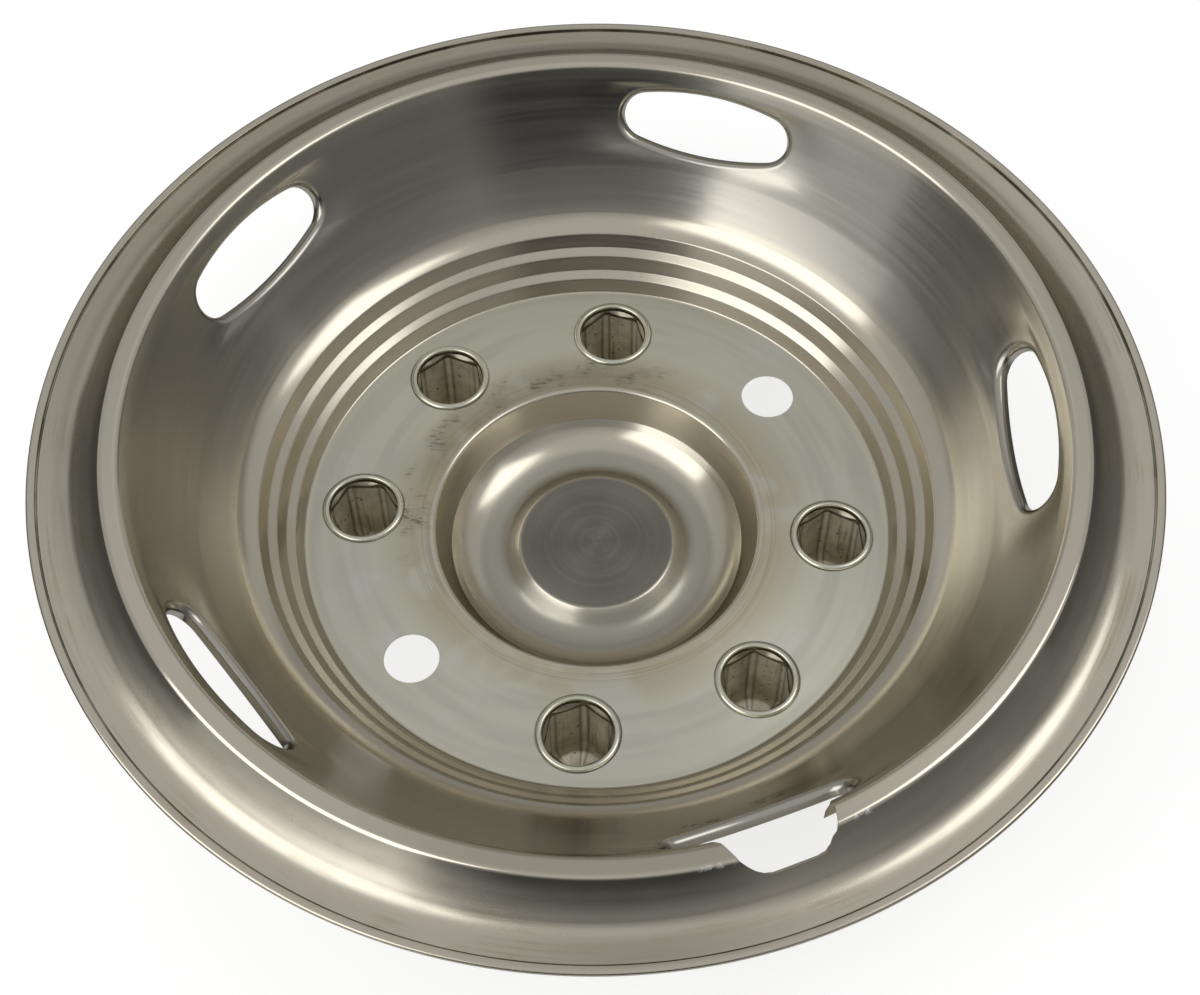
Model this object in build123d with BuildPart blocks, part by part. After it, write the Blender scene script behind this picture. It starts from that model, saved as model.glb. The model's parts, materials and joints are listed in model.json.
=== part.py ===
from build123d import *
import os
from math import atan2, ceil, cos, hypot, radians, sin, tan

# Wheel liner of a truck wheel simulator, seen from its open back, lying face down on its six
# lug nut covers. Millimetres, +Z up towards the back, Z = 0 on the surface the covers stand on,
# the wheel axis on Z and the two open lug holes on the X axis.

# Sheet
sheet = 1.2                    # stainless sheet of the liner
flat_turn = 40.0               # degrees, most that one flat of a sweeping bend turns

# Rim
edge_diameter = 471.6          # over the folded lip
edge_rise = 73.5               # lip above the lug flat
hem_width = 3.8                # folded lip
flange_width = 21.9            # from the edge to where flange and barrel wall would meet
flange_slope = 3.0             # degrees, flange falling inwards from the lip
channel_leg = 15.5             # of flange and of wall, taken up by the sweep between them

# Crest ring
crest_rise = 12.4              # crest above the lip
barrel_lean = 10.3             # inward lean of the barrel wall, from the channel up to the crest
crest_width = 7.4
crest_leg = 2.1                # of each side, taken up by a bend of the crest

# Bowl
shelf_width = 8.2              # shelf between the bowl and the first step
shelf_drop = 3.6
bowl_foot_leg = 5.6            # of wall and of shelf, taken up by the sweep between them

# Steps down to the lug flat
step_count = 3
riser_width = 3.6
riser_drop = 5.8
tread_width = 3.5
tread_drop = 2.6

# Hub dome, levels below the lug flat
hub_edge_radius = 72.6
hub_wall_foot_radius = 65.6
hub_wall_drop = 13.5
trough_radius = 49.5           # middle of the trough's floor
trough_floor_width = 13.0
trough_drop = 23.0
trough_leg = 4.4
hub_disc_radius = 34.8
hub_disc_drop = 17.0

# Hand holes
hand_hole_count = 5
hand_hole_start = 33.0         # degrees from the open lug hole on +X
hand_hole_length = 78.0
hand_hole_height = 29.0
hand_hole_end_radius = 11.0
hand_hole_down_wall = 25.0     # centre of the hole below the crest, along the bowl wall
collar_depth = 5.4             # turned edge, from the back face of the wall
collar_ease = 1.8              # eased turn from the wall into the opening

# Valve stem notch, cut outwards from one hand hole
notch_hole = 3                 # which hole, counted from zero
notch_width = 42.0             # at the crest
notch_shift = 1.8              # middle of the cut at the crest, sideways from the hole's centre
notch_floor_width = 28.0
notch_floor_shift = 3.4        # middle of the cut's floor, sideways from the hole's centre
notch_depth = 8.8              # down the barrel wall from the crest
notch_corner = 5.0
notch_tilt = 11.0              # degrees that the floor of the cut rises outwards

# Lug positions
lug_circle_diameter = 210.0
lug_count = 8
lug_flat_margin = 25.0         # from the lug circle out to the foot of the steps
open_lug_diameter = 24.0
open_lugs = (0, 4)             # counted from +X

# Lug nut covers
cover_wall = 0.9
cover_reach = 45.5             # end of a cover in front of the lug flat
cover_lip_diameter = 36.4
cover_lip_height = 1.3         # lip above the lug flat
cover_lip_taper = 50.0         # degrees, fall of the lip towards its edge
cover_neck_bore = 30.4
cover_neck_length = 4.8        # neck in front of the lug flat
cover_bead_width = 1.2         # bead that holds the cover behind the sheet
cover_fit = 0.2                # clearance of the neck in the liner
cover_hex_width = 26.0         # across the flats, inside
cover_nose_length = 4.5        # tapered end
cover_nose_inset = 4.5         # taken off each flat at the end
cover_turns = (2.6, 57.6, 19.6, 39.9, 52.1, 53.1)   # degrees, turn of each hexagon

# Levels and radii that follow
lug_face = cover_reach
edge_radius = edge_diameter / 2
edge_level = lug_face + edge_rise
crest_level = edge_level + crest_rise
flange_angle = radians(flange_slope)
fold = Vector(edge_radius - sheet * cos(flange_angle), edge_level - sheet)
channel_radius = edge_radius - flange_width
channel_level = fold.Y - (fold.X - channel_radius) * tan(flange_angle)
crest_outer_radius = channel_radius - barrel_lean
crest_inner_radius = crest_outer_radius - crest_width
lug_flat_radius = lug_circle_diameter / 2 + lug_flat_margin
shelf_radius = lug_flat_radius + step_count * riser_width + (step_count - 1) * tread_width
shelf_level = lug_face + step_count * riser_drop + (step_count - 1) * tread_drop
bowl_foot_radius = shelf_radius + shelf_width
bowl_foot_level = shelf_level + shelf_drop
cover_neck_radius = cover_neck_bore / 2 + cover_wall
cover_hex_length = cover_reach - cover_neck_length

# Bowl wall: a cone from the crest to the foot of the bowl
wall_run = crest_inner_radius - bowl_foot_radius
wall_fall = crest_level - bowl_foot_level
wall_length = hypot(wall_run, wall_fall)
wall_top = Vector(crest_inner_radius, 0, crest_level)
wall_down = Vector(-wall_run, 0, -wall_fall) / wall_length
wall_front = Vector(wall_fall, 0, -wall_run) / wall_length
hand_hole_centre = wall_top + wall_down * hand_hole_down_wall


def back_face_corners():
    """Corners of the back face from the lip to the axis: radius, level and leg of the sweep."""
    corners = [
        (fold.X, fold.Y, 0),
        (channel_radius, channel_level, channel_leg),
        (crest_outer_radius, crest_level, crest_leg),
        (crest_inner_radius, crest_level, crest_leg),
        (bowl_foot_radius, bowl_foot_level, bowl_foot_leg),
    ]
    radius = shelf_radius
    level = shelf_level
    for step in range(step_count):
        corners.append((radius, level, 0))
        radius -= riser_width
        level -= riser_drop
        corners.append((radius, level, 0))
        radius -= tread_width
        level -= tread_drop
    return corners + [
        (hub_edge_radius, lug_face, 0),
        (hub_wall_foot_radius, lug_face - hub_wall_drop, 0),
        (trough_radius + trough_floor_width / 2, lug_face - trough_drop, trough_leg),
        (trough_radius - trough_floor_width / 2, lug_face - trough_drop, trough_leg),
        (hub_disc_radius, lug_face - hub_disc_drop, 0),
        (0, lug_face - hub_disc_drop, 0),
    ]


def bent_outline(corners):
    """Points along an outline, each sweep drawn in short flats round the arc that fits its legs."""
    spots = [Vector(radius, level) for radius, level, leg in corners]
    points = [spots[0]]
    for before, spot, after, corner in zip(spots, spots[1:], spots[2:], corners[1:]):
        leg = corner[2]
        come = (spot - before).normalized()
        leave = (after - spot).normalized()
        turn = -come.get_signed_angle(leave)
        start = spot - come * leg
        centre = spot + (leave - come).normalized() * leg / sin(radians(abs(turn)) / 2)
        flats = ceil(abs(turn) / flat_turn)
        if leg == 0:
            points.append(spot)
        else:
            for flat in range(flats + 1):
                points.append(centre + (start - centre).rotate(Axis.Z, turn * flat / flats))
    return points + [spots[-1]]


def front_outline(points):
    """Points one sheet in front of an outline of the back face, each on the mitre of its corner."""
    ways = [(after - before).normalized() for before, after in zip(points, points[1:])]
    fronts = [Vector(-way.Y, way.X) for way in ways]
    mitres = [(one + two) / (1 + one.dot(two)) for one, two in zip(fronts, fronts[1:])]
    return [point + mitre * sheet for point, mitre in zip(points, fronts[:1] + mitres + fronts[-1:])]


def folded_lip():
    """Section of the lip: the sheet's edge folded over, flat on the back of the flange."""
    inward = Vector(-cos(flange_angle), -sin(flange_angle))
    upward = Vector(-sin(flange_angle), cos(flange_angle)) * sheet
    flap = inward * (hem_width - sheet)
    return [
        fold,
        fold + flap,
        fold + flap + upward,
        fold + upward,
        fold - inward * sheet,
        fold - upward,
    ]


def hand_hole_plane(angle):
    """Plane on the bowl wall at a hand hole, facing the front, X along the length of the hole."""
    return Plane(
        origin=hand_hole_centre.rotate(Axis.Z, angle),
        x_dir=Vector(0, 1, 0).rotate(Axis.Z, angle),
        z_dir=wall_front.rotate(Axis.Z, angle),
    )


def wall_depth(edge):
    """How far the middle of an edge lies in front of the back face of the bowl wall."""
    middle = edge @ 0.5
    section_point = Vector(hypot(middle.X, middle.Y), 0, middle.Z)
    return (section_point - wall_top).dot(wall_front)


def oval(grow=0.0):
    """Outline of a hand hole, four tangent arcs, grown outwards by a given amount."""
    half_length = hand_hole_length / 2
    half_height = hand_hole_height / 2
    end_centre = half_length - hand_hole_end_radius
    squares = end_centre**2 + half_height**2 - hand_hole_end_radius**2
    side_radius = squares / (2 * (half_height - hand_hole_end_radius))
    lean = atan2(side_radius - half_height, end_centre)
    end_reach = hand_hole_end_radius + grow
    joint = Vector(end_centre + end_reach * cos(lean), end_reach * sin(lean))
    with BuildLine() as outline:
        ThreePointArc((-joint.X, joint.Y), (0, half_height + grow), (joint.X, joint.Y))
        ThreePointArc((joint.X, joint.Y), (half_length + grow, 0), (joint.X, -joint.Y))
        mirror(about=Plane.XZ)
        mirror(about=Plane.YZ)
    return outline.edges()


# Turned edge of one hand hole, on the +X side: an oval plug in front of the bowl wall
cut_reach = hand_hole_length / 2
band_top = hand_hole_centre - wall_down * hand_hole_height
band_foot = hand_hole_centre + wall_down * hand_hole_height
band_depth = wall_front * collar_depth
band_corners = [band_top, band_foot, band_foot + band_depth, band_top + band_depth]
with BuildPart() as collar:
    with BuildSketch(Plane.XZ):
        with BuildLine():
            Polyline(*[(corner.X, corner.Z) for corner in band_corners], close=True)
        make_face()
    revolve(axis=Axis.Z)
    with BuildSketch(hand_hole_plane(0)):
        make_face(oval(sheet))
    extrude(amount=cut_reach, both=True, mode=Mode.INTERSECT)

hand_hole_angles = [
    hand_hole_start + hole * 360 / hand_hole_count for hole in range(hand_hole_count)
]
notch_angle = hand_hole_angles[notch_hole]
notch_plane = Plane(
    origin=Vector(crest_outer_radius, 0, crest_level).rotate(Axis.Z, notch_angle),
    x_dir=Vector(0, 1, 0).rotate(Axis.Z, notch_angle),
    z_dir=Vector(cos(radians(notch_tilt)), 0, sin(radians(notch_tilt))).rotate(Axis.Z, notch_angle),
)
notch_left = notch_shift - notch_width / 2
notch_right = notch_shift + notch_width / 2
notch_floor_left = notch_floor_shift - notch_floor_width / 2
notch_floor_right = notch_floor_shift + notch_floor_width / 2
notch_reach_in = crest_width + collar_depth + hand_hole_down_wall / 2
notch_reach_out = channel_radius - crest_outer_radius + sheet

back_outline = bent_outline(back_face_corners())
with BuildPart() as liner:
    with BuildSketch(Plane.XZ):
        with BuildLine():
            Polyline(*back_outline, *reversed(front_outline(back_outline)), close=True)
        make_face()
        with BuildLine():
            Polyline(*folded_lip(), close=True)
        make_face()
    revolve(axis=Axis.Z)
    # Hand holes with their edges turned to the front
    with PolarLocations(0, hand_hole_count, start_angle=hand_hole_start):
        add(collar.part)
    with BuildSketch(*[hand_hole_plane(angle) for angle in hand_hole_angles]):
        make_face(oval())
    extrude(amount=cut_reach, both=True, mode=Mode.SUBTRACT)
    opening_edges = liner.edges(Select.NEW)
    chamfer(
        opening_edges.filter_by(lambda edge: wall_depth(edge) < collar_depth / 2),
        length=collar_ease,
    )
    # Valve stem notch through the crest and down the barrel wall
    with BuildSketch(notch_plane) as notch:
        with BuildLine():
            FilletPolyline(
                (notch_left, notch_depth),
                (notch_left, 0),
                (notch_floor_left, -notch_depth),
                (notch_floor_right, -notch_depth),
                (notch_right, 0),
                (notch_right, notch_depth),
                radius=(0, notch_corner, notch_corner, 0),
            )
            Line((notch_right, notch_depth), (notch_left, notch_depth))
        make_face()
    extrude(amount=notch_reach_out, mode=Mode.SUBTRACT)
    extrude(notch.sketch, amount=-notch_reach_in, mode=Mode.SUBTRACT)
    # Lug holes
    for lug in range(lug_count):
        lug_radius = cover_neck_radius + cover_fit
        if lug in open_lugs:
            lug_radius = open_lug_diameter / 2
        with Locations(Plane.XY.offset(lug_face)):
            with PolarLocations(lug_circle_diameter / 2, 1, start_angle=lug * 360 / lug_count):
                Hole(radius=lug_radius, depth=2 * sheet)


def hex_form(top, flats, length):
    """Hexagonal bar hanging from a plane, its lower end tapered on all six sides."""
    with BuildPart() as bar:
        with BuildSketch(top):
            RegularPolygon(flats / 2, 6, major_radius=False)
        extrude(amount=-length)
        end = bar.faces().sort_by(Axis.Z)[0]
        chamfer(end.edges(), length=cover_nose_length, length2=cover_nose_inset, reference=end)
    return bar.part


def lug_nut_cover(angle, turn):
    """Hexagonal cap hung in a lug hole by its lip, open at the back and closed at the front."""
    seat = Plane(Vector(lug_circle_diameter / 2, 0, lug_face).rotate(Axis.Z, angle))
    shoulder = seat.offset(-cover_neck_length).rotated((0, 0, turn))
    bead = seat.offset(-sheet - cover_fit)
    floor = shoulder.offset(cover_wall)
    with BuildPart() as cover:
        with BuildSketch(seat):
            Circle(cover_neck_radius)
        extrude(amount=-cover_neck_length)
        with BuildSketch(bead):
            Circle(cover_neck_radius + cover_fit + cover_bead_width)
        extrude(amount=sheet + cover_fit - cover_neck_length)
        with BuildSketch(seat):
            Circle(cover_lip_diameter / 2)
        extrude(amount=cover_lip_height, taper=cover_lip_taper)
        add(hex_form(shoulder, cover_hex_width + 2 * cover_wall, cover_hex_length))
        add(hex_form(floor, cover_hex_width, cover_hex_length), mode=Mode.SUBTRACT)
        with BuildSketch(floor):
            Circle(cover_neck_bore / 2)
        extrude(amount=cover_neck_length + cover_lip_height, mode=Mode.SUBTRACT)
    return cover.part


os.makedirs("parts", exist_ok=True)
liner.part.label = "wheel_liner"
export_step(liner.part, "parts/wheel_liner.step")

covered_lugs = [lug for lug in range(lug_count) if lug not in open_lugs]
for number, (lug, turn) in enumerate(zip(covered_lugs, cover_turns), start=1):
    cover = lug_nut_cover(lug * 360 / lug_count, turn)
    cover.label = f"lug_nut_cover_{number}"
    export_step(cover, f"parts/lug_nut_cover_{number}.step")
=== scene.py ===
"""Looks of a stamped stainless wheel liner with six lug nut covers, lying face down."""

import json
from math import atan2, ceil, cos, pi, radians, sin, tan

import bpy
import numpy as np
from mathutils import Matrix, Vector


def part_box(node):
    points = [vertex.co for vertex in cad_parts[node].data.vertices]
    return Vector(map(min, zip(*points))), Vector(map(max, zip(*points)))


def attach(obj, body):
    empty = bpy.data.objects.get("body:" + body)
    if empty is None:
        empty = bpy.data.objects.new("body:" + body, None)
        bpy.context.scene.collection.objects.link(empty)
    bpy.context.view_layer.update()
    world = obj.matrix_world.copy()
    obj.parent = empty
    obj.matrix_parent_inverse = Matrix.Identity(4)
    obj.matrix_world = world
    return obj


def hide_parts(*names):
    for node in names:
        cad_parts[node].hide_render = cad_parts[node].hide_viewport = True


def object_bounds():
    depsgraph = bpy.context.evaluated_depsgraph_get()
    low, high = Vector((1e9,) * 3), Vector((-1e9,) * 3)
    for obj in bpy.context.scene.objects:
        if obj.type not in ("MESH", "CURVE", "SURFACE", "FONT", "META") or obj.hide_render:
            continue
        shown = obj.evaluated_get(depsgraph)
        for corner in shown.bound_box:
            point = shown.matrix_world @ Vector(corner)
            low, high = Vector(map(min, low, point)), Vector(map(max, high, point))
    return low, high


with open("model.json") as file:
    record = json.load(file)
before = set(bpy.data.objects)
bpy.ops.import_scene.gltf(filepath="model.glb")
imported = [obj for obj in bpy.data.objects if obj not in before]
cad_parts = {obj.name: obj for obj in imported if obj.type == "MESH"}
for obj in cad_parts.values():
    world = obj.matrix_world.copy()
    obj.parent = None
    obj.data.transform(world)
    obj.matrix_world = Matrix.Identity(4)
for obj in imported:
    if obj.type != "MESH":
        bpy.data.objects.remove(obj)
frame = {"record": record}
cad_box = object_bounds()

# Sizes are in millimetres, in the frame of the CAD model: Z = 0 under the covers, the axis on Z
MM = 0.001


def millimetres(metres):
    """A length of the frame in millimetres, to the nearest thousandth."""
    return round(metres / MM, 3)


stud_holes = next(mount for mount in frame["record"]["mounts"] if mount["name"] == "stud_holes")

# Rim, where a corner of the section is a radius and a level
SHEET = 1.2
EDGE_RADIUS = millimetres(cad_box[1].x)
EDGE_LEVEL = 119.0
HEM_WIDTH = 3.8  # folded lip
HEM_START = 0.4  # straight stretch on both sides of the fold
HEM_EDGE = 0.45  # rounding of the flap's edge
HEM_GROOVE = ((0.0, -0.25), (0.5, -0.3), (0.8, 0.0))  # past the flap, and above the flange
FLANGE_SLOPE = radians(7)
CHANNEL_RADIUS = 221.0
CHANNEL_BEND = 13.0
BARREL = (212.5, 122.8)  # corner on the way up to the crest
BARREL_BEND = 45.0
CREST_LEVEL = millimetres(cad_box[1].z)
CREST_OUTER = 203.6
CREST_INNER = 196.2
CREST_BEND = 3.4

# Bowl
BOWL_FOOT = (152.6, 70.1)
BOWL_FOOT_BEND = 17.0
WALL_SAG = 2.0  # hollow of the bowl wall between crest and foot
HOLLOW_PEAK = 2.6  # brings the deepest point of the hollow's curve to 1
HOLLOW_END = 0.95  # share of the way down where the hollow starts to fade
HOLLOW_REACH = 11.0  # from the wall, where its hollow is no longer followed
HOLLOW_REACH_SOFT = 3.0

# Steps down to the lug flat
LUG_FACE = millimetres(stud_holes["pos_m"][2])
LUG_FLAT_RADIUS = 130.0
STEP_COUNT = 3
RISER = (3.6, 5.8)  # width and drop
TREAD = (3.5, 2.6)
STEP_BEND = 2.2
STEP_FOOT_BEND = 1.4

# Hub dome
HUB_EDGE = 72.6
HUB_EDGE_BEND = 2.2
HUB_WALL_FOOT = (65.6, 32.0)
HUB_WALL_BEND = 1.2
TROUGH_LEVEL = millimetres(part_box("wheel_liner")[0].z) + SHEET
TROUGH_OUTER = 56.0
TROUGH_OUTER_BEND = 23.0
TROUGH_INNER = 43.0
TROUGH_INNER_BEND = 9.0
HUB_DISC = (34.8, 28.5)
HUB_DISC_BEND = 2.4

# Hand holes in the bowl wall
HOLE_COUNT = 5
HOLE_START = radians(33)
HOLE_LENGTH = 78.0
HOLE_HEIGHT = 29.0
HOLE_END_RADIUS = 11.0
HOLE_DOWN_WALL = 25.0
COLLAR_DEPTH = 5.4
COLLAR_BEND = 3.0
COLLAR_EASE = 0.3  # eased edge at the end of the collar
DRAW_IN = 1.1  # hollow that the turned edge leaves round the ends of a hole
DRAW_WIDTH = 13.0
BAND_TOP = 3.0  # stretch of the wall that is laid out round the hand holes
BAND_FOOT = 48.0

# Valve stem notch, hand-cut: sideways and height from the middle of the crest's outer edge
NOTCH_HOLE = 3
NOTCH_LEFT = ((-17.8, 12.0), (-17.6, -0.8), (-16.0, -4.7), (-14.2, -7.7), (-11.8, -9.8), (-8.6, -10.5))
NOTCH_RIGHT = (
    (12.6, -10.1), (15.8, -9.3), (17.8, -7.2), (18.9, -4.6), (20.6, -3.0), (21.2, 0.6), (20.8, 12.0),
)
NOTCH_LEFT_FLARE = 0.43  # the sides open inwards, this much per millimetre
NOTCH_RIGHT_FLARE = -0.27
NOTCH_RISE = 0.62  # the floor rises outwards, this much per millimetre
NOTCH_REACH = (180.0, 215.0)

# Lug holes
LUG_RADIUS = stud_holes["dims"]["pcd_mm"] / 2
LUG_COUNT = 8
OPEN_LUGS = (0, 4)
OPEN_LUG_RADIUS = stud_holes["dims"]["hole_r_mm"]
COVER_HOLE_RADIUS = 16.3
DRILL_REACH = 6.0  # above and below the lug flat

# Lug nut covers: outlines as radius and level, from the lip's edge inwards and from the seat down
COVER_TURNS = (2.6, 57.6, 19.6, 39.9, 52.1, 53.1)  # degrees, turn of each hexagon
COVER_WALL = 0.9
COVER_BORE = 15.2
COVER_LIP = (
    (18.2, 45.5), (18.05, 45.95), (17.65, 46.4), (17.0, 46.72), (16.4, 46.8),
    (15.85, 46.68), (15.45, 46.35), (15.22, 45.9), (15.2, 45.4),
)
COVER_BEAD = ((16.1, 45.5), (16.1, 44.1), (17.2, 44.1), (17.5, 43.7), (17.5, 41.4), (17.1, 40.9))
BEAD_FOOT = 40.6
HEX_APOTHEM = 13.3
HEX_CORNER = 2.4
HEX_SECTOR = pi / 3  # from one side of the hexagon to the next
NECK_LEVELS = (44.9, 44.5, 44.2)
NECK_FOOT = 44.0
SHOULDER_FOOT = 41.4
SHOULDER_FALL = 3.2  # narrowing of the round neck down the shoulder
SHOULDER_BLEND = 0.5
WELL_LEVELS = (40, 36, 31, 26, 20, 15, 12.6)
UNCUT = 30.0  # wider than a cover, where its nose takes nothing off
NOSE_TOP = 11.5
NOSE_RADIUS = 15.6
NOSE_FALL = 2.6
NOSE_CURVE = 1.6
NOSE_BLEND = 0.8
DOME_RIM = 4.6
DOME_RADIUS = NOSE_RADIUS - NOSE_FALL
DOME_STEP = 11  # degrees
DOME_DROP_CURVE = 0.9
DOME_WIDTH_CURVE = 1.15
OUTSIDE = 2.0  # mark for the outer face, where distances from a corner run from 0 to 1

# Mesh fineness
AROUND = 270  # columns round the axis
PER_HOLE = AROUND // HOLE_COUNT
BAND_SIDE = 20  # rows beside a hand hole
BACK_STEP = radians(9)  # most that one flat of a bend turns
FRONT_STEP = radians(16)
LEAST_BEND = 0.2
BEFORE_BEND = 0.35  # close rows before and after a bend
AFTER_BEND = 0.3
BAND_TOP_CLEAR = 0.1  # clearance of the other rows from the hand holes' stretch of wall
BAND_FOOT_CLEAR = 0.3
WALL_LOOPS = 12  # loops from that stretch's border to a hole
WALL_CROWDING = 1.7  # their crowding towards the hole
WALL_TRIES = 8
COLLAR_ARMS = 8
COLLAR_FRONT_ARMS = 6
HEM_ARMS = 8
HEM_EDGE_ARMS = 4
COVER_AROUND = 96
SHOULDER_STEPS = 14
NOSE_STEPS = 8
DOME_STEPS = 7
DRILL_SIDES = 80
SHARP_ANGLE = radians(38)

# Places that follow
SHELF_EDGE = (
    LUG_FLAT_RADIUS + STEP_COUNT * RISER[0] + (STEP_COUNT - 1) * TREAD[0],
    LUG_FACE + STEP_COUNT * RISER[1] + (STEP_COUNT - 1) * TREAD[1],
)
BAND_DOWNS = np.linspace(BAND_TOP, BAND_FOOT, BAND_SIDE + 1)

# Bowl wall and its directions, in the section through the axis
WALL_TOP = np.array([CREST_INNER, 0.0, CREST_LEVEL])
WALL_FOOT = np.array([BOWL_FOOT[0], 0.0, BOWL_FOOT[1]])
WALL_LENGTH = np.linalg.norm(WALL_FOOT - WALL_TOP)
WALL_DOWN = (WALL_FOOT - WALL_TOP) / WALL_LENGTH
WALL_FRONT = np.array([-WALL_DOWN[2], 0.0, WALL_DOWN[0]])


def offset_corners(corners, distance):
    """Corners of a line that runs to the left of an outline, with the bends widened or narrowed."""
    spots = [Vector((r, z)) for r, z, bend in corners]
    ways = [(b - a).normalized() for a, b in zip(spots, spots[1:])]
    sides = [Vector((-way.y, way.x)) * distance for way in ways]
    moved = [spots[0] + sides[0]]
    bends = [0.0]
    for spot, before, after, side, corner in zip(spots[1:], ways, ways[1:], sides, corners[1:]):
        turn = before.x * after.y - before.y * after.x
        half = (before + after).normalized()
        out = Vector((-half.y, half.x))
        moved.append(spot + out * distance / out.dot(side / distance))
        bends.append(max(corner[2] - distance if turn > 0 else corner[2] + distance, LEAST_BEND))
    moved.append(spots[-1] + sides[-1])
    bends.append(0.0)
    return [(p.x, p.y, bend) for p, bend in zip(moved, bends)]


def rounded(corners, step):
    """Points along an outline with its bends as arcs, and a close point beside each arc's ends."""
    spots = [Vector((r, z)) for r, z, bend in corners]
    points = [spots[0]]
    for before, spot, after, corner in zip(spots, spots[1:], spots[2:], corners[1:]):
        bend = corner[2]
        come = (spot - before).normalized()
        leave = (after - spot).normalized()
        turn = atan2(come.x * leave.y - come.y * leave.x, come.dot(leave))
        leg = bend * tan(abs(turn) / 2)
        start = spot - come * leg
        side = Vector((-come.y, come.x)) * (1 if turn > 0 else -1)
        centre = start + side * bend
        reach = start - centre
        arms = max(2, ceil(abs(turn) / step))
        points.append(start - come * min(BEFORE_BEND, (start - points[-1]).length / 3))
        for arm in range(arms + 1):
            angle = turn * arm / arms
            points.append(centre + Vector((
                reach.x * cos(angle) - reach.y * sin(angle),
                reach.x * sin(angle) + reach.y * cos(angle),
            )))
        points.append(points[-1] + leave * AFTER_BEND)
    points.append(spots[-1])
    return [(p.x, p.y) for p in points]


def ring(r, z):
    """One row of points round the axis."""
    turns = np.arange(AROUND) * 2 * pi / AROUND + HOLE_START - pi / HOLE_COUNT
    return [(r * cos(a), r * sin(a), z) for a in turns]


class Shell:
    """Vertices and faces of a mesh, collected row by row."""

    def __init__(self):
        self.points = []
        self.faces = []

    def add(self, points):
        """Adds a row of points and gives their numbers."""
        first = len(self.points)
        self.points.extend(points)
        return list(range(first, len(self.points)))

    def join(self, one, two):
        """Quads between two closed rows of the same length."""
        for i in range(len(one)):
            j = (i + 1) % len(one)
            self.faces.append((one[i], one[j], two[j], two[i]))

    def join_rows(self, rows, turned_over=False):
        """Quads between each row and the next."""
        for one, two in zip(rows, rows[1:]):
            pair = (two, one) if turned_over else (one, two)
            self.join(*pair)

    def fan(self, row, tip, turned_over=False):
        """Triangles from a closed row to a point."""
        for i in range(len(row)):
            pair = (row[i], row[(i + 1) % len(row)])
            self.faces.append((pair[1], pair[0], tip) if turned_over else (*pair, tip))

    def disc(self, section, turned_over=False):
        """Rows along a section that ends on the axis."""
        rows = [self.add(ring(r, z)) for r, z in section[:-1]]
        self.join_rows(rows, turned_over)
        tip = self.add([(0, 0, section[-1][1])])[0]
        self.fan(rows[-1], tip, turned_over)
        return rows

    def mesh(self, name):
        """The finished mesh, in metres."""
        mesh = bpy.data.meshes.new(name)
        mesh.from_pydata([Vector(p) * MM for p in self.points], [], self.faces)
        mesh.validate()
        mesh.update()
        return mesh


def back_corners():
    """Corners of the back face from the lip to the axis: radius, level and bend."""
    fold = (EDGE_RADIUS - SHEET, EDGE_LEVEL - SHEET)
    channel_level = fold[1] - (fold[0] - CHANNEL_RADIUS) * tan(FLANGE_SLOPE)
    corners = [
        (*fold, 0),
        (CHANNEL_RADIUS, channel_level, CHANNEL_BEND),
        (*BARREL, BARREL_BEND),
        (CREST_OUTER, CREST_LEVEL, CREST_BEND),
        (CREST_INNER, CREST_LEVEL, CREST_BEND),
        (*BOWL_FOOT, BOWL_FOOT_BEND),
    ]
    r, z = SHELF_EDGE
    for step in range(STEP_COUNT):
        corners.append((r, z, STEP_BEND))
        r, z = r - RISER[0], z - RISER[1]
        corners.append((r, z, STEP_FOOT_BEND))
        r, z = r - TREAD[0], z - TREAD[1]
    return corners + [
        (HUB_EDGE, LUG_FACE, HUB_EDGE_BEND),
        (*HUB_WALL_FOOT, HUB_WALL_BEND),
        (TROUGH_OUTER, TROUGH_LEVEL, TROUGH_OUTER_BEND),
        (TROUGH_INNER, TROUGH_LEVEL, TROUGH_INNER_BEND),
        (*HUB_DISC, HUB_DISC_BEND),
        (0, HUB_DISC[1], 0),
    ]


def wall_point(down, depth):
    """Section point on the bowl wall, down from the crest and in front of the back face."""
    p = WALL_TOP + WALL_DOWN * down + WALL_FRONT * depth
    return (p[0], p[2])


def from_wall_top(p, way):
    """How far points lie from the top of the bowl wall, along a direction of its section."""
    r = np.hypot(p[:, 0], p[:, 1])
    return (r - WALL_TOP[0]) * way[0] + (p[:, 2] - WALL_TOP[2]) * way[2]


def split_at_band(corners, step, depth):
    """Rows of one face above and below the stretch of wall that holds the hand holes."""
    rows = rounded(corners, step)
    top = wall_point(BAND_TOP, depth)
    foot = wall_point(BAND_FOOT, depth)
    upper = [p for p in rows if p[0] > top[0] + BAND_TOP_CLEAR]
    lower = [p for p in rows if p[0] < foot[0] - BAND_FOOT_CLEAR]
    return upper + [top], [foot] + lower


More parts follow.
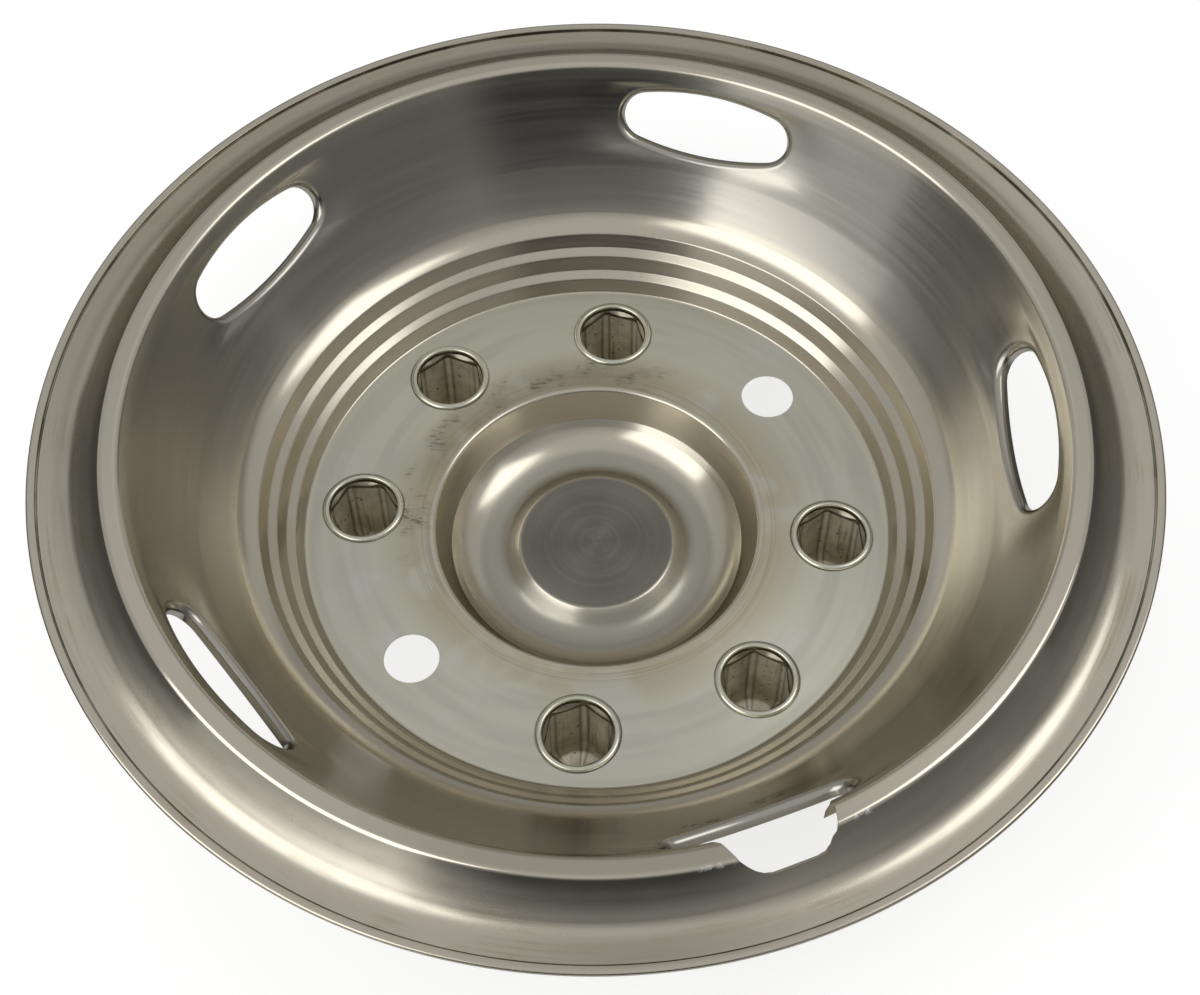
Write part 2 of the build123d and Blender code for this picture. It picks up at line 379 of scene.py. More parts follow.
def hem_rows():
    """Section of the folded lip, from the underside of the flange round to the foot of its flap."""
    along = np.array([-cos(FLANGE_SLOPE), -sin(FLANGE_SLOPE)])
    above = np.array([-sin(FLANGE_SLOPE), cos(FLANGE_SLOPE)])
    fold = np.array([EDGE_RADIUS - SHEET, EDGE_LEVEL - SHEET])
    flap = HEM_WIDTH - SHEET
    rows = [fold + along * HEM_START - above * SHEET]
    for arm in range(HEM_ARMS + 1):
        a = pi * arm / HEM_ARMS
        rows.append(fold - above * SHEET * cos(a) - along * SHEET * sin(a))
    rows.append(fold + along * HEM_START + above * SHEET)
    for arm in range(HEM_EDGE_ARMS + 1):
        a = pi / 2 * arm / HEM_EDGE_ARMS
        inward = flap - HEM_EDGE + HEM_EDGE * sin(a)
        upward = SHEET - HEM_EDGE + HEM_EDGE * cos(a)
        rows.append(fold + along * inward + above * upward)
    for past, lift in HEM_GROOVE:
        rows.append(fold + along * (flap + past) + above * lift)
    return [tuple(p) for p in rows]


def oval_loop(top, side):
    """Points and outward directions round a hand hole, in the hole's plane, from its upper left."""
    half_length, half_height = HOLE_LENGTH / 2, HOLE_HEIGHT / 2
    end = half_length - HOLE_END_RADIUS
    squares = end**2 + half_height**2 - HOLE_END_RADIUS**2
    reach = squares / (2 * (half_height - HOLE_END_RADIUS))
    lean = atan2(reach - half_height, end)
    spans = [
        (0, reach - half_height, reach, -pi + lean, -lean, top),
        (end, 0, HOLE_END_RADIUS, -lean, lean, side),
        (0, half_height - reach, reach, lean, pi - lean, top),
        (-end, 0, HOLE_END_RADIUS, pi - lean, pi + lean, side),
    ]
    loop = []
    for t, u, radius, first, last, count in spans:
        for k in range(count):
            a = first + (last - first) * k / count
            loop.append((t + radius * cos(a), u + radius * sin(a), cos(a), sin(a)))
    return np.array(loop)


def on_wall(t, u):
    """Points of the wall's back face in front of the plane of a hand hole at angle 0."""
    centre = WALL_TOP + WALL_DOWN * HOLE_DOWN_WALL
    p = centre + np.outer(t, [0, 1, 0]) + np.outer(u, WALL_DOWN)
    for attempt in range(WALL_TRIES):
        r = np.hypot(p[:, 0], p[:, 1])
        slope = p[:, 0] / r * WALL_FRONT[0] ** 2 + WALL_FRONT[2] ** 2
        p = p - np.outer(from_wall_top(p, WALL_FRONT) / slope, WALL_FRONT)
    return p


def wall_normal(p):
    """Directions square to the wall at points on it, towards the front."""
    r = np.hypot(p[:, 0], p[:, 1])
    flat = WALL_FRONT[0]
    return np.stack([p[:, 0] / r * flat, p[:, 1] / r * flat, np.full(len(p), WALL_FRONT[2])], 1)


def turned(p, angle):
    """Points turned about the axis."""
    c, s = cos(angle), sin(angle)
    return np.stack([c * p[:, 0] - s * p[:, 1], s * p[:, 0] + c * p[:, 1], p[:, 2]], 1)


def hand_hole_loops(edge, angle):
    """Loops of points from the wall's back face through one hand hole to its front face.

    edge is the border of the hole's stretch of wall, as angles and distances down the wall."""
    t, u, out_t, out_u = oval_loop(PER_HOLE, BAND_SIDE).T
    start = on_wall(t + out_t * COLLAR_BEND, u + out_u * COLLAR_BEND)
    start_turn = np.arctan2(start[:, 1], start[:, 0])
    start_down = from_wall_top(start, WALL_DOWN)
    sideways = (start_turn - edge[:, 0]) * np.hypot(start[:, 0], start[:, 1])
    gap = np.hypot(sideways, start_down - edge[:, 1])
    draw = DRAW_IN * (2 * t / HOLE_LENGTH) ** 2

    def wall_loop(share, depth):
        turn = edge[:, 0] * (1 - share) + start_turn * share
        down = edge[:, 1] * (1 - share) + start_down * share
        near = np.exp(-((gap * (1 - share) / DRAW_WIDTH) ** 2))
        depth = depth + draw * near * share * share * (3 - 2 * share)
        r = WALL_TOP[0] + WALL_DOWN[0] * down + WALL_FRONT[0] * depth
        z = WALL_TOP[2] + WALL_DOWN[2] * down + WALL_FRONT[2] * depth
        return np.stack([r * np.cos(turn), r * np.sin(turn), z], 1)

    def turned_edge(outward, depth):
        foot = on_wall(t + out_t * outward, u + out_u * outward)
        lean = min(1.0, max(0.0, 1 - outward / COLLAR_BEND))
        way = wall_normal(foot) * (1 - lean) + WALL_FRONT * lean
        way /= np.linalg.norm(way, axis=1)[:, None]
        return foot + way * (depth + draw)[:, None]

    shares = [1 - (1 - k / WALL_LOOPS) ** WALL_CROWDING for k in range(1, WALL_LOOPS)]
    loops = [wall_loop(share, 0) for share in shares]
    for arm in range(COLLAR_ARMS + 1):
        a = pi / 2 * arm / COLLAR_ARMS
        loops.append(turned_edge(COLLAR_BEND * (1 - sin(a)), COLLAR_BEND * (1 - cos(a))))
    ease = COLLAR_EASE
    eased = ((0, 2 * ease), (0, ease), (ease, 0), (SHEET - ease, 0), (SHEET, ease), (SHEET, 2 * ease))
    for outward, short in eased:
        loops.append(turned_edge(outward, COLLAR_DEPTH - short))
    inner = COLLAR_BEND - SHEET
    for arm in range(COLLAR_FRONT_ARMS, -1, -1):
        a = pi / 2 * arm / COLLAR_FRONT_ARMS
        loops.append(turned_edge(COLLAR_BEND - inner * sin(a), COLLAR_BEND - inner * cos(a)))
    loops += [wall_loop(share, SHEET) for share in shares[::-2]]
    return [turned(p, angle) for p in loops]


def hollow_share(x):
    """Depth of the wall's hollow at a share of the way down: deepest below the middle, fading at the foot."""
    curve = HOLLOW_PEAK * (x - x**3)
    left = HOLLOW_PEAK * (HOLLOW_END - HOLLOW_END**3)
    fade = HOLLOW_PEAK * (3 * HOLLOW_END**2 - 1) / left
    past_end = left * np.exp(-fade * np.maximum(x - HOLLOW_END, 0))
    return np.where(x < HOLLOW_END, np.where(x > 0, curve, 0), past_end)


def hollowed(points):
    """Points with the bowl wall bowed to the front between crest and foot."""
    p = np.array(points)
    r = np.hypot(p[:, 0], p[:, 1])
    depth = from_wall_top(p, WALL_FRONT)
    near = np.clip((HOLLOW_REACH - np.abs(depth)) / HOLLOW_REACH_SOFT, 0, 1)
    sag = WALL_SAG * hollow_share(from_wall_top(p, WALL_DOWN) / WALL_LENGTH) * near
    spread = 1 + sag * WALL_FRONT[0] / np.maximum(r, 1)
    return np.stack([p[:, 0] * spread, p[:, 1] * spread, p[:, 2] + sag * WALL_FRONT[2]], 1)


def band_columns(shell, depth):
    """Points of one face where the stretches of wall of two hand holes meet, a column for each hole."""
    spots = [wall_point(down, depth) for down in BAND_DOWNS[1:-1]]
    columns = []
    for hole in range(HOLE_COUNT):
        a = HOLE_START + (2 * hole - 1) * pi / HOLE_COUNT
        columns.append(shell.add([(r * cos(a), r * sin(a), z) for r, z in spots]))
    return columns


def band_edge():
    """Border of a hand hole's stretch of wall, as angles and distances down the wall."""
    half = pi / HOLE_COUNT
    turns = np.linspace(-half, half, PER_HOLE + 1)
    edge = [(a, BAND_TOP) for a in turns[:-1]]
    edge += [(half, down) for down in BAND_DOWNS[:-1]]
    edge += [(a, BAND_FOOT) for a in turns[:0:-1]]
    edge += [(-half, down) for down in BAND_DOWNS[:0:-1]]
    return np.array(edge)


def band_border(hole, upper_row, lower_row, columns):
    """The same border on one face, as numbers of points that the mesh already has."""
    at = [(hole * PER_HOLE + k) % AROUND for k in range(PER_HOLE + 1)]
    right = columns[(hole + 1) % HOLE_COUNT]
    left = columns[hole]
    return [upper_row[k] for k in at] + right + [lower_row[k] for k in at[::-1]] + left[::-1]


def liner_mesh():
    """The whole liner as one closed skin: back rows, hand holes, front rows and folded lip."""
    corners = back_corners()
    back_upper, back_lower = split_at_band(corners, BACK_STEP, 0)
    front_upper, front_lower = split_at_band(offset_corners(corners, SHEET), FRONT_STEP, SHEET)
    shell = Shell()
    upper_back = [shell.add(ring(r, z)) for r, z in hem_rows() + back_upper[1:]]
    upper_front = [shell.add(ring(r, z)) for r, z in front_upper[1:]]
    shell.join_rows(upper_back)
    shell.join_rows(upper_front, turned_over=True)
    shell.join(upper_front[0], upper_back[0])
    lower_back = shell.disc(back_lower)
    lower_front = shell.disc(front_lower, turned_over=True)
    back = (upper_back[-1], lower_back[0], band_columns(shell, 0))
    front = (upper_front[-1], lower_front[0], band_columns(shell, SHEET))
    edge = band_edge()
    for hole in range(HOLE_COUNT):
        centre = HOLE_START + hole * 2 * pi / HOLE_COUNT
        loops = [shell.add([tuple(p) for p in loop]) for loop in hand_hole_loops(edge, centre)]
        shell.join_rows([band_border(hole, *back)] + loops + [band_border(hole, *front)])
    shell.points = [tuple(p) for p in hollowed(shell.points)]
    return shell.mesh("wheel_liner_skin")


def from_flat(turns):
    """Angles from the middle of the nearest side of a hexagon."""
    return np.abs((turns + HEX_SECTOR / 2) % HEX_SECTOR - HEX_SECTOR / 2)


def hexagon_reach(turns, apothem, corner):
    """Distance from the middle to a hexagon with rounded corners, at each angle."""
    a = from_flat(turns)
    flat = apothem / np.cos(a)
    hub = (apothem - corner) / cos(HEX_SECTOR / 2)
    off = HEX_SECTOR / 2 - a
    arc = hub * np.cos(off) + np.sqrt(np.maximum(corner**2 - (hub * np.sin(off)) ** 2, 0))
    return np.where(apothem * np.tan(a) <= (apothem - corner) * tan(HEX_SECTOR / 2), flat, arc)


def soft_max(a, b, blend):
    """The larger of two lengths, with a soft change between them."""
    return np.maximum(a, b) + np.maximum(blend - np.abs(a - b), 0) ** 2 / (4 * blend)


def soft_min(a, b, blend):
    """The smaller of two lengths, with a soft change between them."""
    return -soft_max(-a, -b, blend)


def cover_rows(wall):
    """Levels, neck radius and nose radius of one face of a lug nut cover, from neck to end."""
    neck = COVER_BORE + wall
    rows = [(z, neck, UNCUT) for z in NECK_LEVELS]
    for step in range(SHOULDER_STEPS + 1):
        share = step / SHOULDER_STEPS
        z = NECK_FOOT + (SHOULDER_FOOT - NECK_FOOT) * share
        rows.append((z, neck - SHOULDER_FALL * share, UNCUT))
    rows += [(z, 0.0, UNCUT) for z in WELL_LEVELS]
    for step in range(NOSE_STEPS + 1):
        share = step / NOSE_STEPS
        z = NOSE_TOP + (DOME_RIM - NOSE_TOP) * share
        rows.append((z, 0.0, NOSE_RADIUS + wall - NOSE_FALL * share**NOSE_CURVE))
    for step in range(1, DOME_STEPS + 1):
        a = radians(DOME_STEP * step)
        z = DOME_RIM - (DOME_RIM - COVER_WALL + wall) * sin(a) ** DOME_DROP_CURVE
        rows.append((z, 0.0, (DOME_RADIUS + wall) * cos(a) ** DOME_WIDTH_CURVE))
    return rows


def cover_side(turns, corner_turn, wall):
    """Rows of one face of a cover: distances from its middle at each angle, and level."""
    flat_turns = turns - corner_turn - HEX_SECTOR / 2
    hexagon = hexagon_reach(flat_turns, HEX_APOTHEM + wall, HEX_CORNER + wall)
    rows = []
    for z, neck, nose in cover_rows(wall):
        widened = soft_max(hexagon, np.full_like(turns, neck), SHOULDER_BLEND)
        rows.append((soft_min(widened, nose, NOSE_BLEND), z))
    return rows


def cover_mesh(number, place, corner_turn):
    """A drawn cap: round lip and neck, hexagonal well with soft corners, domed end."""
    shell = Shell()
    turns = np.arange(COVER_AROUND) * 2 * pi / COVER_AROUND
    x, y = place

    def loop(reach, z):
        return shell.add([(x + r * cos(a), y + r * sin(a), z) for r, a in zip(reach, turns)])

    def round_loop(r, z):
        return loop(np.full_like(turns, r), z)

    mouth = [round_loop(r, z) for r, z in COVER_BEAD[::-1] + COVER_LIP]
    inside = [loop(reach, z) for reach, z in cover_side(turns, corner_turn, 0.0)]
    outer_rows = [row for row in cover_side(turns, corner_turn, COVER_WALL) if row[1] < BEAD_FOOT]
    outside = [loop(reach, z) for reach, z in outer_rows]
    shell.join_rows(outside[::-1] + mouth + inside)
    shell.fan(inside[-1], shell.add([(x, y, COVER_WALL)])[0])
    shell.fan(outside[-1], shell.add([(x, y, 0.0)])[0], turned_over=True)
    mesh = shell.mesh(f"lug_nut_cover_{number}_skin")

    # Distance from the nearest corner of the well, from 0 to 1, for the painted stripes of shade and
    # highlight beside its corners
    spots = np.array(shell.points)
    around = np.arctan2(spots[:, 1] - y, spots[:, 0] - x) - corner_turn
    marks = from_flat(around) / (HEX_SECTOR / 2)
    marks[[spot for row in outside for spot in row]] = OUTSIDE
    mesh.attributes.new("from_corner", "FLOAT", "POINT").data.foreach_set("value", marks)
    return mesh


def new_object(name, data):
    """A new object in the scene."""
    made = bpy.data.objects.new(name, data)
    bpy.context.scene.collection.objects.link(made)
    return made


def piece(mesh, node):
    """Puts a skin in the place of a CAD node."""
    made = new_object(mesh.name, mesh)
    mesh.polygons.foreach_set("use_smooth", [True] * len(mesh.polygons))
    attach(made, "root")
    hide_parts(node)
    return made


def cut(target, cutters):
    """Takes the cutters' solids out of a piece's mesh."""
    for cutter in cutters:
        boolean = target.modifiers.new("cut", "BOOLEAN")
        boolean.operation = "DIFFERENCE"
        boolean.solver = "MANIFOLD"
        boolean.object = cutter
    depsgraph = bpy.context.evaluated_depsgraph_get()
    mesh = bpy.data.meshes.new_from_object(target.evaluated_get(depsgraph))
    target.modifiers.clear()
    old = target.data
    mesh.name = old.name
    target.data = mesh
    bpy.data.meshes.remove(old)
    for cutter in cutters:
        bpy.data.objects.remove(cutter)


def solid(name, lower, upper):
    """A cutter between two outlines of the same number of points."""
    shell = Shell()
    rows = [shell.add(lower), shell.add(upper)]
    shell.join(*rows)
    shell.faces.append(tuple(rows[0][::-1]))
    shell.faces.append(tuple(rows[1]))
    return new_object(name, shell.mesh(name))


def lug_place(lug):
    """Middle of a lug position."""
    a = 2 * pi * lug / LUG_COUNT
    return LUG_RADIUS * cos(a), LUG_RADIUS * sin(a)


def drill(lug):
    """A round cutter through the lug flat."""
    radius = OPEN_LUG_RADIUS if lug in OPEN_LUGS else COVER_HOLE_RADIUS
    x, y = lug_place(lug)
    turns = [2 * pi * k / DRILL_SIDES for k in range(DRILL_SIDES)]
    circle = [(x + radius * cos(a), y + radius * sin(a)) for a in turns]
    levels = (LUG_FACE - DRILL_REACH, LUG_FACE + DRILL_REACH)
    return solid(f"lug_drill_{lug}", *[[(*spot, z) for spot in circle] for z in levels])


def notch_cutter():
    """A cutter with the notch's uneven outline, running outwards through the crest."""
    angle = HOLE_START + NOTCH_HOLE * 2 * pi / HOLE_COUNT
    outlines = []
    for r in NOTCH_REACH:
        out = r - CREST_OUTER
        left = [(r, t + NOTCH_LEFT_FLARE * out, h + NOTCH_RISE * out) for t, h in NOTCH_LEFT]
        right = [(r, t + NOTCH_RIGHT_FLARE * out, h + NOTCH_RISE * out) for t, h in NOTCH_RIGHT]
        outline = np.array(left + right) + (0, 0, CREST_LEVEL)
        outlines.append([tuple(p) for p in turned(outline, angle)])
    return solid("notch_cutter", *outlines)


liner = piece(liner_mesh(), "wheel_liner")
cut(liner, [drill(lug) for lug in range(LUG_COUNT)] + [notch_cutter()])
liner.data.set_sharp_from_angle(angle=SHARP_ANGLE)
covered_lugs = [lug for lug in range(LUG_COUNT) if lug not in OPEN_LUGS]
covers = []
for number, (lug, turn) in enumerate(zip(covered_lugs, COVER_TURNS), start=1):
    mesh = cover_mesh(number, lug_place(lug), radians(turn))
    covers.append(piece(mesh, f"lug_nut_cover_{number}"))


# Materials: what the noises and the lug positions need
NOISE_ROUGHNESS = 0.6
GRAIN_SLANT = 0.6  # share of the height in the distance along the section
OPEN_LUG_COSINES = (0.90, 0.91)  # of the turn from the open lugs' axis, beyond which no cover stands
FAR = 0.01  # divides the distance from a lug that has no cover


class Nodes:
    """Short words for building a material's node tree: z and r are in millimetres, x and y in metres."""

    def __init__(self, name):
        self.material = bpy.data.materials.new(name)
        self.material.use_nodes = True
        self.tree = self.material.node_tree
        self.shader = self.tree.nodes["Principled BSDF"]
        self.spot = self.add("ShaderNodeTexCoord").outputs["Object"]
        split = self.add("ShaderNodeSeparateXYZ")
        self.feed(split.inputs[0], self.spot)
        self.x, self.y, height = split.outputs
        self.z = self.math("MULTIPLY", height, 1 / MM)
        squares = self.math("ADD", self.math("POWER", self.x, 2), self.math("POWER", self.y, 2))
        reach = self.math("SQRT", squares)
        self.r = self.math("MULTIPLY", reach, 1 / MM)
        self.turn = self.math("MULTIPLY", self.math("ARCTAN2", self.y, self.x), 180 / pi)
        self.cos = self.math("DIVIDE", self.x, reach)
        self.sin = self.math("DIVIDE", self.y, reach)

    def add(self, kind, **settings):
        """A new node."""
        node = self.tree.nodes.new(kind)
        for key, value in settings.items():
            setattr(node, key, value)
        return node

    def feed(self, socket, value):
        """Links an output to a socket, or sets the socket's own value."""
        if isinstance(value, bpy.types.NodeSocket):
            self.tree.links.new(value, socket)
        else:
            socket.default_value = value

    def surface(self, name, value):
        """Feeds a socket of the shader."""
        self.feed(self.shader.inputs[name], value)

    def math(self, operation, a, b=0.0):
        """One operation on two numbers."""
        node = self.add("ShaderNodeMath", operation=operation)
        self.feed(node.inputs[0], a)
        self.feed(node.inputs[1], b)
        return node.outputs[0]

    def times(self, *values):
        """The product of all the values."""
        product = values[0]
        for value in values[1:]:
            product = self.math("MULTIPLY", product, value)
        return product

    def rise(self, value, low, high):
        """0 below low, 1 above high, smooth between."""
        node = self.add("ShaderNodeMapRange", interpolation_type="SMOOTHSTEP")
        self.feed(node.inputs["Value"], value)
        node.inputs["From Min"].default_value = low
        node.inputs["From Max"].default_value = high
        return node.outputs["Result"]

    def fall(self, value, low, high):
        """1 below low, 0 above high, smooth between."""
        return self.math("SUBTRACT", 1.0, self.rise(value, low, high))

    def band(self, value, low, high, soft):
        """1 between low and high, with soft borders."""
        above = self.rise(value, low - soft, low + soft)
        return self.math("MULTIPLY", above, self.fall(value, high - soft, high + soft))

    def lug_distance(self):
        """Distance from the nearest covered lug position, far away near the open ones."""
        pitch = 360 / LUG_COUNT
        off = self.math("WRAP", self.turn, pitch / 2)
        self.feed(off.node.inputs[2], -pitch / 2)
        turn = self.math("MULTIPLY", off, pi / 180)
        along = self.math("SUBTRACT", self.times(self.r, self.math("COSINE", turn)), LUG_RADIUS)
        across = self.times(self.r, self.math("SINE", turn))
        squares = self.math("ADD", self.math("POWER", along, 2), self.math("POWER", across, 2))
        covered = self.fall(self.math("ABSOLUTE", self.cos), *OPEN_LUG_COSINES)
        return self.math("DIVIDE", self.math("SQRT", squares), self.math("MAXIMUM", covered, FAR))

    def noise(self, scale, detail, vector=None):
        """Noise at the place on the object, or at a place drawn out by one of the words below."""
        node = self.add("ShaderNodeTexNoise")
        self.feed(node.inputs["Vector"], self.spot if vector is None else vector)
        node.inputs["Scale"].default_value = scale
        node.inputs["Detail"].default_value = detail
        node.inputs["Roughness"].default_value = NOISE_ROUGHNESS
        return node.outputs["Fac"]

    def grain(self, around, across, detail):
        """Noise drawn out round the axis, as turning and polishing leave it."""
        join = self.add("ShaderNodeCombineXYZ")
        self.feed(join.inputs[0], self.math("MULTIPLY", self.cos, around))
        self.feed(join.inputs[1], self.math("MULTIPLY", self.sin, around))
        along_section = self.math("ADD", self.r, self.math("MULTIPLY", self.z, GRAIN_SLANT))
        self.feed(join.inputs[2], self.math("MULTIPLY", along_section, across))
        return self.noise(1.0, detail, join.outputs[0])

    def stretched(self, x, y, z):
        """Place with a scale of its own along each axis, for drawn-out noise."""
        node = self.add("ShaderNodeVectorMath", operation="MULTIPLY")
        self.feed(node.inputs[0], self.spot)
        node.inputs[1].default_value = (x, y, z)
        return node.outputs[0]

    def slanted(self, across, along):
        """Place with its scales at 45 degrees to the axes, for slanting strokes."""
        join = self.add("ShaderNodeCombineXYZ")
        self.feed(join.inputs[0], self.math("MULTIPLY", self.math("ADD", self.x, self.y), across))
        self.feed(join.inputs[1], self.math("MULTIPLY", self.math("SUBTRACT", self.x, self.y), along))
        return join.outputs[0]

    def mix(self, share, one, two):
        """A colour between two colours."""
        node = self.add("ShaderNodeMix", data_type="RGBA")
        self.feed(node.inputs[0], share)
        for socket, colour in ((node.inputs[6], one), (node.inputs[7], two)):
            self.feed(socket, colour if isinstance(colour, bpy.types.NodeSocket) else (*colour, 1))
        return node.outputs[2]

    def blend(self, share, one, two):
        """A number between two numbers."""
        node = self.add("ShaderNodeMix", data_type="FLOAT")
        self.feed(node.inputs[0], share)
        self.feed(node.inputs[2], one)
        self.feed(node.inputs[3], two)
        return node.outputs[0]

    def bump(self, height, distance):
        """A normal that follows a height, its depth in millimetres."""
        node = self.add("ShaderNodeBump")
        self.feed(node.inputs["Height"], height)
        node.inputs["Distance"].default_value = distance * MM
        return node.outputs[0]


# Tones of the steel, of what lies on it, and of painted shade and highlights
WARM = (0.60, 0.56, 0.465)
WALL = (0.47, 0.45, 0.395)
LUG_FLAT = (0.655, 0.64, 0.54)
POLISHED = (0.80, 0.765, 0.66)
YELLOWED = (0.53, 0.47, 0.33)
TROUGH_STEEL = (0.385, 0.37, 0.315)
DULL = (0.178, 0.170, 0.140)
TARNISHED = (0.42, 0.39, 0.315)
# Tone of the painted shade laid on part of the bowl wall
WALL_SHADE = (0.27, 0.255, 0.215)
SOILED = (0.36, 0.325, 0.235)
STAIN = (0.40, 0.355, 0.25)
SMEAR = (0.70, 0.69, 0.64)
# Dark tone of grime, and of painted shade in the groove, round the covers and under their lips
GRIME_AND_SHADE = (0.030, 0.026, 0.020)
SCUFF = (0.085, 0.075, 0.055)
DISC_PALE = (0.27, 0.26, 0.225)
# Bare steel of the burr, and the painted highlight along the corners of the covers' wells
BARE_AND_HIGHLIGHT = (0.90, 0.89, 0.84)
WELL_PALE = (0.84, 0.80, 0.67)
WELL_DULL = (0.68, 0.63, 0.50)
# Dark tone of the wells' streaks, and of the painted shade on their corners and shoulders
WELL_STREAK_AND_SHADE = (0.15, 0.13, 0.09)
GLINT = (0.70, 0.68, 0.63, 1)  # tint of the steel at a grazing angle
WARM_SPREAD = 1.05
SWIRL_SHADE = 0.8
BRUSHING = 0.62  # anisotropy, with its turn that lays the brushing round the axis
BRUSHING_TURN = 0.25

# Zones of the pressing: radius from and to, and levels between which a zone comes in or ends
FLAT_LEVELS = (43, 47)
LUG_FLAT_RING = (74, 129)
DISC_EDGE = (33.4, 35.2)
TROUGH_RING = (36, 53)
TROUGH_LEVELS = (26, 33)
FLANGE_RING = (207, 233)
FLANGE_LEVELS = (110, 113)
WALL_RING = (158, 194)
WALL_LEVELS = (70, 78)
BARREL_RING = (202, 216)

# Marks: turn about the axis in degrees, radius and level, each from and to
YELLOWED_EDGE = (78, 100)
POLISHED_RING = (150, 166)
POLISHED_TURNS = (-118, -42)
POLISHED_LEVELS = (64, 68)
TARNISHED_EDGE = (219, 224)
TARNISHED_TURNS = (10, 145)
NEAR_TARNISHED_TURNS = (-138, -116)
CREST_RING = (196.5, 203)
CREST_LEVELS = (129, 130.5)
CREST_TURNS = (-150, -108)
# Painted shade on the bowl wall: its turns, and the radii where it comes in and ends
WALL_SHADE_TURNS = (118, 158)
WALL_SHADE_START = (160, 172)
WALL_SHADE_END = (192, 197)
SOILED_TURNS = (30, 122)
SOILED_EDGE = (80, 94)
# Painted shade: in the groove beside the folded lip, and in a ring round each cover's lip
GROOVE_RING = (231.45, 232.1)
GROOVE_LEVELS = (114, 116)
COVER_RING = (17.9, 18.55)  # from the middle of a cover
TURNED_EDGE = (77, 86)
DISC_RIM = (34.0, 35.0)
DISC_RIM_START = (22, 33)
SCUFFED_TURNS = (26, 152)
SCUFFED_RING = (76, 90)
RUBBED_MARKS = (((-109.4, -104.4), (166.6, 169.6)), ((-119.6, -114.4), (170.0, 172.6)))
RUBBED_LEVELS = (70, 75)
BURR_TURNS = ((-120.4, -116.6), (-103.8, -101.0))
BURR_RING = (203.4, 205.0)


class LinerNodes(Nodes):
    """The liner's node tree, with its noises and the zones of the pressing."""

    def __init__(self, name):
        super().__init__(name)
        self.broad = self.grain(1.6, 0.14, 1)
        self.drawn = self.grain(2.6, 0.5, 3)
        self.mottle = self.noise(26, 3)
        self.coarse = self.noise(360, 3)
        self.flat_level = self.band(self.z, *FLAT_LEVELS, soft=0.5)
        self.lug_flat = self.times(self.band(self.r, *LUG_FLAT_RING, soft=1.0), self.flat_level)
        self.disc = self.fall(self.r, *DISC_EDGE)
        self.trough = self.times(self.band(self.r, *TROUGH_RING, soft=2.0), self.fall(self.z, *TROUGH_LEVELS))
        self.flange = self.times(self.band(self.r, *FLANGE_RING, soft=3.0), self.rise(self.z, *FLANGE_LEVELS))
        self.wall = self.times(self.band(self.r, *WALL_RING, soft=3.0), self.rise(self.z, *WALL_LEVELS))
        torn = self.math("ADD", *[self.band(self.turn, *turns, soft=0.5) for turns in BURR_TURNS])
        torn = self.times(torn, self.band(self.r, *BURR_RING, soft=0.5))
        self.burr = self.times(torn, self.rise(self.coarse, 0.46, 0.56))


def zone_tones(n):
    """Tone of the steel in each zone."""
    colour = n.mix(n.broad, WARM, [tone * WARM_SPREAD for tone in WARM])
    colour = n.mix(n.wall, colour, WALL)
    colour = n.mix(n.lug_flat, colour, LUG_FLAT)
    near_hub = n.times(n.lug_flat, n.fall(n.r, *YELLOWED_EDGE))
    colour = n.mix(n.times(near_hub, 0.8), colour, YELLOWED)
    colour = n.mix(n.times(n.trough, 0.8), colour, TROUGH_STEEL)
    return n.mix(n.times(n.disc, 0.9), colour, DULL)


def with_tarnish_and_wall_shade(n, colour):
    """Polished, tarnished and soiled stretches of the bowl, the flange and the lug flat, and painted shade on
    the bowl wall.
    """
    polished_turns = n.band(n.turn, *POLISHED_TURNS, soft=18)
    polished = n.times(n.band(n.r, *POLISHED_RING, soft=5.0), polished_turns, n.rise(n.z, *POLISHED_LEVELS))
    colour = n.mix(n.times(polished, 0.7), colour, POLISHED)
    near = n.band(n.turn, *NEAR_TARNISHED_TURNS, soft=10)
    tarnished = n.math("ADD", n.band(n.turn, *TARNISHED_TURNS, soft=25), near)
    colour = n.mix(n.times(n.flange, tarnished, n.rise(n.r, *TARNISHED_EDGE), 0.8), colour, TARNISHED)
    crest_top = n.times(n.band(n.r, *CREST_RING, soft=1.0), n.rise(n.z, *CREST_LEVELS))
    crest = n.times(crest_top, n.band(n.turn, *CREST_TURNS, soft=12))
    colour = n.mix(n.times(crest, 0.75), colour, TARNISHED)
    # Painted shade: the bowl wall darkened between turns 118 and 158, over most of its height
    shaded_wall = n.times(n.wall, n.band(n.turn, *WALL_SHADE_TURNS, soft=12), n.fall(n.r, *WALL_SHADE_END))
    colour = n.mix(n.times(shaded_wall, n.rise(n.r, *WALL_SHADE_START), 0.6), colour, WALL_SHADE)
    soiled = n.times(n.lug_flat, n.band(n.turn, *SOILED_TURNS, soft=14), n.fall(n.r, *SOILED_EDGE))
    return n.mix(n.times(soiled, n.blend(n.drawn, 0.5, 1.0)), colour, SOILED)


def with_stains(n, colour):
    """Stains on the flange, drawn out round the axis, and pale wipe marks and swirls on the lug flat."""
    stained = n.times(n.flange, n.rise(n.drawn, 0.46, 0.74), n.rise(n.mottle, 0.40, 0.62))
    colour = n.mix(n.times(stained, 0.75), colour, STAIN)
    wiped = n.times(n.lug_flat, n.rise(n.mottle, 0.52, 0.66))
    colour = n.mix(n.times(wiped, 0.5), colour, SMEAR)
    swirled = n.times(n.lug_flat, n.rise(n.broad, 0.40, 0.72))
    return n.mix(n.times(swirled, 0.5), colour, [tone * SWIRL_SHADE for tone in LUG_FLAT])


